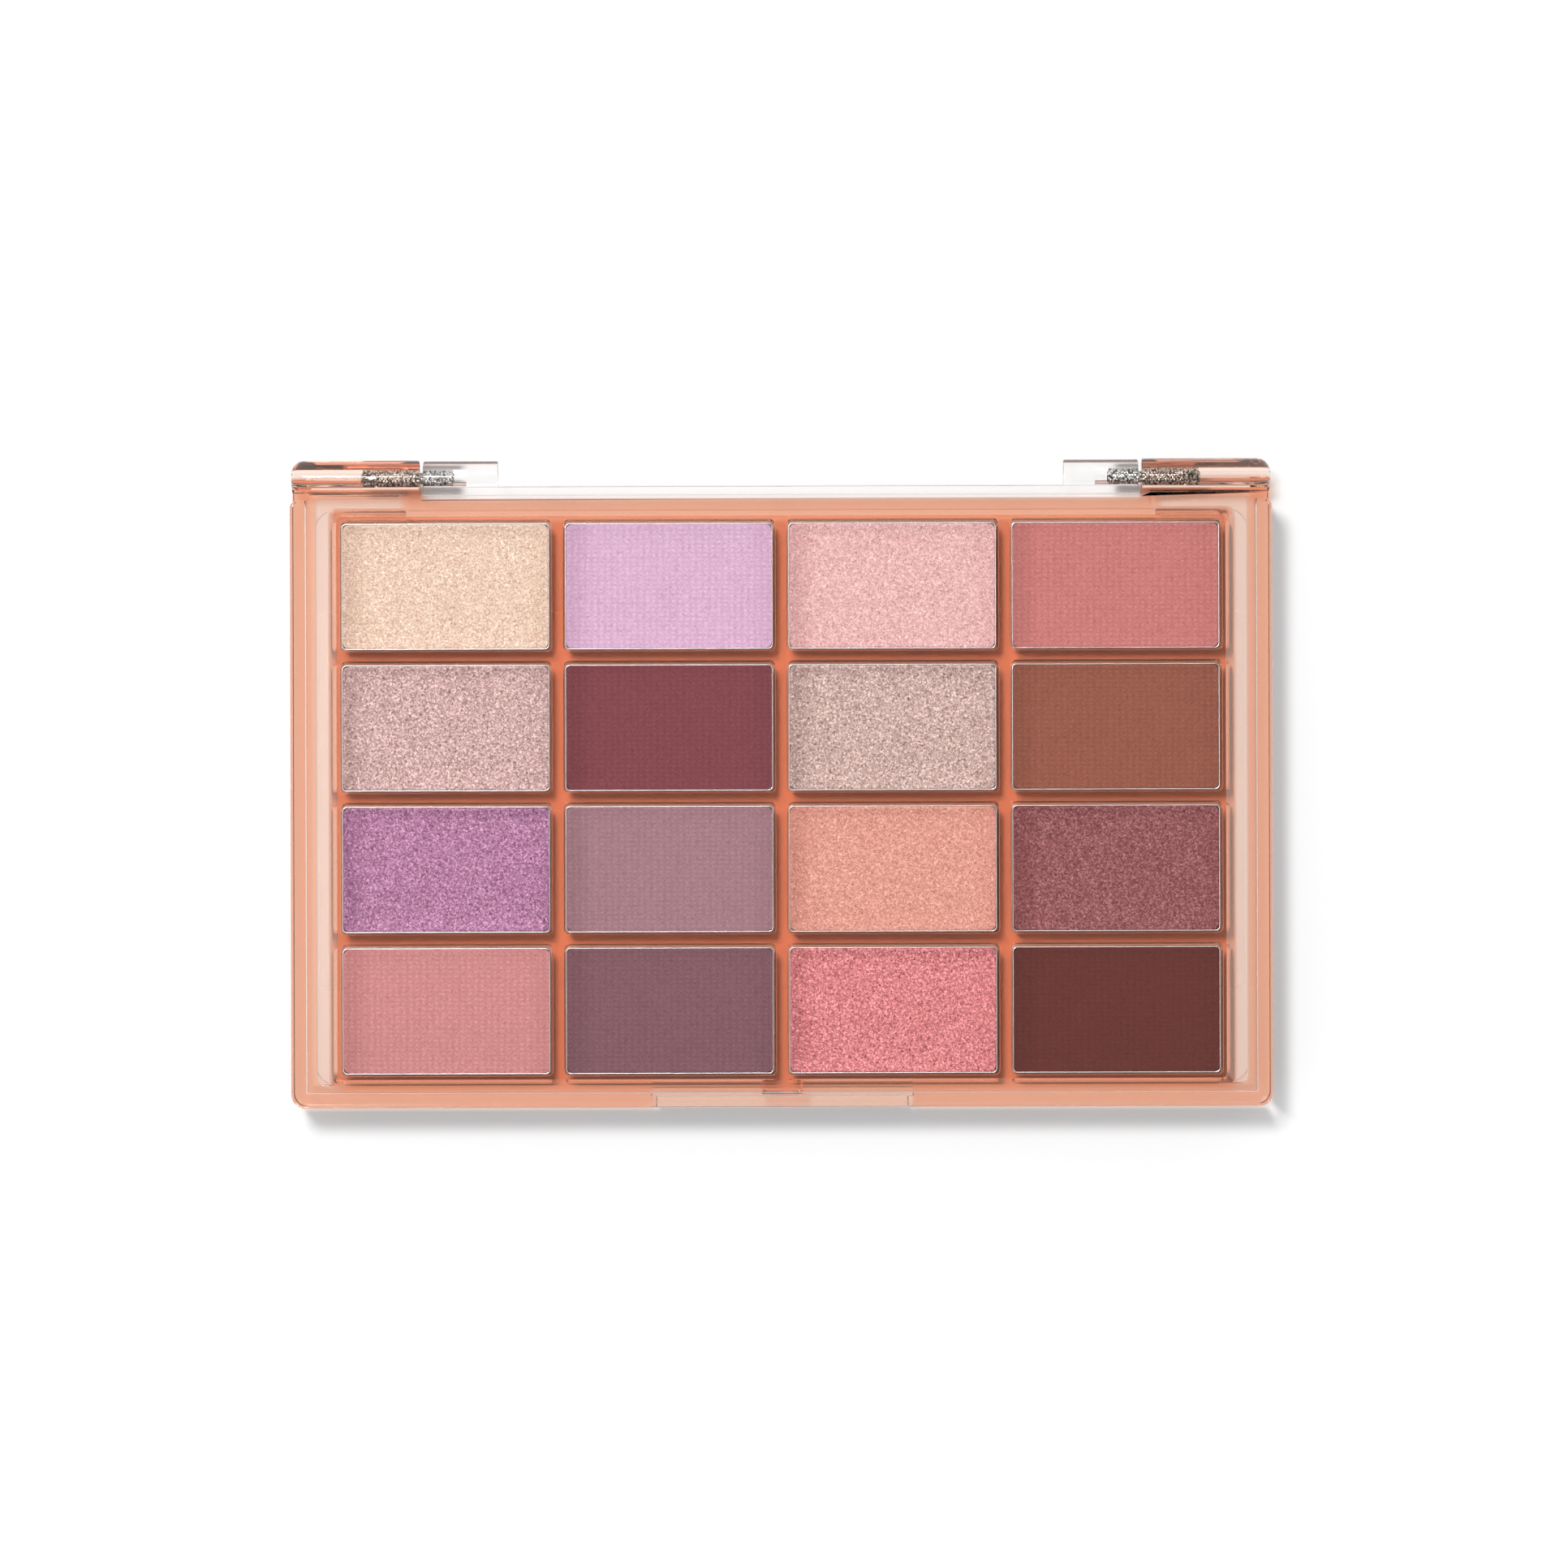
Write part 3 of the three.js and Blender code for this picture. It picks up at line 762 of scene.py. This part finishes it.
def lid():
    """The clear cover: a hollow shell with a rear skirt, two round knuckles and a front tab."""
    cover = together("lid_shell", [prism(lid_plan(), PARTING_Z + CONTACT_GAP, CASE_HEIGHT)])
    cut(cover, [block(-LID_SIDE_INNER_X, LID_FRONT_INNER_Y, PARTING_Z - CUT, LID_SIDE_INNER_X,
                      LID_SKIRT_INNER_Y, LID_PLATE_UNDERSIDE)])
    cut(cover, [block(-LID_BARREL_OUTER_X - CUT, LID_SKIRT_INNER_Y - CUT, PARTING_Z - CUT,
                      LID_BARREL_OUTER_X + CUT, LID_BACK_Y + CUT, LID_SKIRT_BOTTOM)])
    add(cover, [block(-TAB_HALF_WIDTH, FRONT_Y, TAB_BOTTOM, TAB_HALF_WIDTH, TAB_INNER_Y, PARTING_Z + CUT)])
    cut(cover, [block(-RECESS_HALF_WIDTH, TAB_INNER_Y, PARTING_Z - CUT, RECESS_HALF_WIDTH,
                      LID_FRONT_INNER_Y + CUT, LUG_TOP + CUT)])
    add(cover, [block(-HOOK_HALF_WIDTH, TAB_INNER_Y - 0.2, HOOK_BOTTOM, HOOK_HALF_WIDTH, HOOK_INNER_Y,
                      HOOK_TOP)])
    rounded_edges(cover, 0.35, lid_edge_share)
    add(cover, [side_bar(side, knuckle_profile()) for side in (-1, 1)])
    cut(cover, [side_bar(side, [(LID_BORE_END_X, PIN_RADIUS), (PIN_INNER_X + 0.15, PIN_RADIUS)], BORE_SIDES)
                for side in (-1, 1)])
    return smooth(cover)


# ---------- hinge pins ----------

KNURL_END = 49.4
KNURL_RIDGES = 14
KNURL_TWIST = 17  # radians that the ridges turn in one millimetre
KNURL_DEPTH = 0.085
KNURL_STEP = 0.06


def pin_radius(x, angle, kind):
    radius = PIN_RADIUS - 0.03
    if kind == "groove":
        radius -= 0.12
    if kind == "knurl":
        one = math.cos(KNURL_RIDGES * angle + KNURL_TWIST * x)
        two = math.cos(KNURL_RIDGES * angle - KNURL_TWIST * x)
        radius -= KNURL_DEPTH * (1 - max(0.0, min(one, two) * 0.5 + 0.5) ** 0.7)
        radius -= 0.1 * max(0.0, 1 - (x - PIN_INNER_X) / 0.15)
    return radius


def hinge_pin(side):
    """A straight pin with a diamond knurl, a groove and a smooth outer end."""
    turns = full_turn(PIN_SIDES)
    stations = []
    x = PIN_INNER_X
    while x < KNURL_END:
        stations.append((x, "knurl"))
        x += KNURL_STEP
    stations += [(KNURL_END + 0.05, "groove"), (KNURL_END + 0.25, "groove"), (KNURL_END + 0.3, "plain"),
                 (PIN_OUTER_X - 0.15, "plain")]
    rings = [(x, [pin_radius(x, a, kind) for a in turns]) for x, kind in stations]
    rings.append((PIN_OUTER_X, [PIN_RADIUS - 0.18] * len(turns)))
    loops = [[(side * x, AXIS_Y + radius * math.cos(a), AXIS_Z + radius * math.sin(a))
              for a, radius in zip(turns, radii)] for x, radii in rings]
    if side < 0:
        loops.reverse()
    return smooth(together(f"knurled_pin_{side_name(side)}", [lofted(loops)]), 50)


# ---------- pans and powders ----------

def ring(x, y, inset, z, corner=PAN_CORNER):
    """The outline of a pan round (x, y), drawn in by inset."""
    radius = max(corner - inset, 0.25)
    return at_height(rounded_rectangle(
        x - PAN_WIDTH / 2 + inset, y - PAN_DEPTH / 2 + inset,
        x + PAN_WIDTH / 2 - inset, y + PAN_DEPTH / 2 - inset, radius), z)


def pan(name, x, y):
    """A pressed metal pan with a rolled rim, from (inset, height) steps."""
    profile = [
        (0.35, PAN_BOTTOM), (0.12, PAN_BOTTOM + 0.08), (0.0, PAN_BOTTOM + 0.35),
        (0.0, PAN_TOP - 0.1), (0.02, PAN_TOP - 0.03), (0.06, PAN_TOP), (0.1, PAN_TOP - 0.01),
        (PAN_WALL - 0.01, PAN_TOP - 0.05), (PAN_WALL, PAN_TOP - 0.1), (PAN_WALL, PAN_BOTTOM + PAN_WALL),
    ]
    return smooth(together(f"metal_pan_{name}", [lofted([ring(x, y, i, z) for i, z in profile])]), 60)


def cake(name, x, y):
    """A powder cake: a border flush with the rim and a pressed field slightly below it."""
    drop = 0.26
    border = [(0, PAN_BOTTOM + PAN_WALL), (0, POWDER_LEVEL - 0.12), (0.05, POWDER_LEVEL - 0.05),
              (0.12, POWDER_LEVEL - 0.02), (0.22, POWDER_LEVEL - 0.01), (0.35, POWDER_LEVEL - 0.03)]
    slope = [(0.55, 0.3), (0.8, 0.55), (1.1, 0.76), (1.5, 0.92), (2.0, 1), (2.6, 1)]
    profile = border + [(inset, POWDER_LEVEL - drop * share) for inset, share in slope]
    loops = [ring(x, y, PAN_WALL + inset, z, POWDER_CORNER) for inset, z in profile]
    return smooth(together(f"powder_cake_{name}", [lofted(loops)]), 60)


def glue_spot(name, x, y):
    """A flattened drop of set glue, a little uneven round its edge."""
    phase = random.uniform(0, math.tau)
    wobble = random.uniform(0.15, 0.35)
    loops = []
    for share, z in ((0.9, -0.01), (1.0, 0.06), (0.98, 0.13), (0.9, 0.2)):
        loops.append([
            (x + math.cos(a) * share * (GLUE_RADIUS + wobble * math.sin(2 * a + phase)),
             y + math.sin(a) * share * (GLUE_RADIUS + wobble * math.sin(3 * a + phase)), FLOOR_TOP + z)
            for a in full_turn(GLUE_SIDES)])
    return smooth(together(f"glue_spot_{name}", [lofted(loops)]), 60)


# For each powder: its linear red, green and blue, and its finish.
POWDERS = {
    "r1c1": ((0.66, 0.455, 0.35), "shimmer"),
    "r1c2": ((0.66, 0.405, 0.565), "matte"),
    "r1c3": ((0.64, 0.35, 0.34), "shimmer"),
    "r1c4": ((0.535, 0.18, 0.165), "matte"),
    "r2c1": ((0.415, 0.26, 0.245), "glitter"),
    "r2c2": ((0.187, 0.044, 0.054), "matte"),
    "r2c3": ((0.40, 0.27, 0.24), "glitter"),
    "r2c4": ((0.27, 0.085, 0.05), "matte"),
    "r3c1": ((0.29, 0.114, 0.214), "glitter"),
    "r3c2": ((0.335, 0.175, 0.203), "matte"),
    "r3c3": ((0.59, 0.245, 0.186), "shimmer"),
    "r3c4": ((0.207, 0.05, 0.052), "satin"),
    "r4c1": ((0.58, 0.235, 0.228), "matte"),
    "r4c2": ((0.2, 0.087, 0.104), "matte"),
    "r4c3": ((0.5, 0.141, 0.147), "glitter"),
    "r4c4": ((0.11, 0.022, 0.015), "matte"),
}


# ---------- assembly ----------

def install(piece, material, body, slot, *nodes):
    """Paints a piece, fixes it to its body and lets it stand for its CAD nodes."""
    paint(piece, material)
    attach(piece, body)
    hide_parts(*nodes)


tinted = tinted_plastic("tinted_plastic", TRAY_DENSITY)
barrel_plastic = tinted_plastic("barrel_plastic", BARREL_DENSITY)
clear = clear_plastic()
steel = knurled_steel()
bright = metal("bright_pan_metal", (0.88, 0.88, 0.9), 0.24, 1200)
glue = set_glue()

install(base_tray(), tinted, "base", "tinted_plastic", "base_tray")
for hinge_side in (-1, 1):
    install(base_barrel(hinge_side), barrel_plastic, "base", "tinted_plastic", "base_tray")
install(lid(), clear, "lid", "clear_plastic", "lid")
install(hinge_pin(-1), steel, "base", "steel", "hinge_pin_left")
install(hinge_pin(1), steel, "base", "steel", "hinge_pin_right")
for index, (cell, cell_x, cell_y) in enumerate(cells()):
    pan_x = cell_x + PAN_SHIFT_X
    pan_y = cell_y + PAN_SHIFT_Y
    powder_color, powder_finish = POWDERS[cell]
    powder = powder_material(f"powder_{cell}_look", powder_color, powder_finish, index + 1, pan_x)
    install(pan(cell, pan_x, pan_y), bright, "base", "pan_metal", f"pan_{cell}")
    install(cake(cell, pan_x, pan_y), powder, "base", f"powder_{cell}", f"powder_{cell}")
    install(glue_spot(cell, pan_x, pan_y), glue, "base", "glue", f"glue_dot_{cell}")
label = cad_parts["underside_label"]
label.material_slots[0].material = label_film()


# ---------- floor, light and camera ----------

def pale_floor():
    reach = 1.5
    mesh = bpy.data.meshes.new("floor")
    mesh.from_pydata([(-reach, -reach, 0), (reach, -reach, 0), (reach, reach, 0), (-reach, reach, 0)],
                     [], [(0, 1, 2, 3)])
    floor = bpy.data.objects.new("floor", mesh)
    floor.location.z = -0.02 * MM
    bpy.context.scene.collection.objects.link(floor)
    made, nodes, links, out = tree_of("pale_floor")
    shader = principled(nodes, Base_Color=(0.9, 0.9, 0.9, 1), Roughness=0.9)
    links.new(shader.outputs[0], out.inputs["Surface"])
    mesh.materials.append(made)


def soft_world():
    """White light from all sides, greyer straight overhead, where the clear plastic mirrors it."""
    world = bpy.data.worlds.new("studio")
    bpy.context.scene.world = world
    world.use_nodes = True
    nodes = world.node_tree.nodes
    links = world.node_tree.links
    nodes.clear()
    out = nodes.new("ShaderNodeOutputWorld")
    where = nodes.new("ShaderNodeTexCoord")
    split = nodes.new("ShaderNodeSeparateXYZ")
    links.new(where.outputs["Generated"], split.inputs[0])
    sky = color_ramp(nodes, links, split.outputs["Z"], (0.0, (1.0, 1.0, 1.0)), (0.955, (0.95, 0.95, 0.95)),
                     (0.988, (0.35, 0.35, 0.355)))
    background = node(nodes, "ShaderNodeBackground", Strength=0.52)
    links.new(sky, background.inputs["Color"])
    links.new(background.outputs[0], out.inputs["Surface"])


def key_light():
    """A square lamp above the back left corner, aimed at the palette."""
    data = bpy.data.lights.new("key", "AREA")
    data.shape = "SQUARE"
    data.size = 0.23
    data.energy = 11.3
    lamp = bpy.data.objects.new("key", data)
    lamp.location = (-0.22, 0.31, 1.15)
    lamp.rotation_euler = (Vector((0, 0, 0)) - lamp.location).to_track_quat("-Z", "Y").to_euler()
    bpy.context.scene.collection.objects.link(lamp)


def top_camera():
    """A camera that looks straight down on the lid."""
    plane_height = 0.008
    distance = 1.2  # from the plane
    seen_width = 0.19186  # across the plane
    data = bpy.data.cameras.new("camera")
    data.sensor_width = 36
    data.lens = data.sensor_width * distance / seen_width
    data.clip_end = 10
    camera = bpy.data.objects.new("camera", data)
    camera.location = (0.00031, -0.00015, distance + plane_height)
    camera.rotation_euler.z = -0.0029
    bpy.context.scene.collection.objects.link(camera)
    bpy.context.scene.camera = camera


pale_floor()
soft_world()
key_light()
top_camera()
scene = bpy.context.scene
scene.view_settings.view_transform = "Standard"
scene.cycles.max_bounces = LIGHT_BOUNCES
scene.cycles.transmission_bounces = LIGHT_BOUNCES
scene.cycles.transparent_max_bounces = LIGHT_BOUNCES
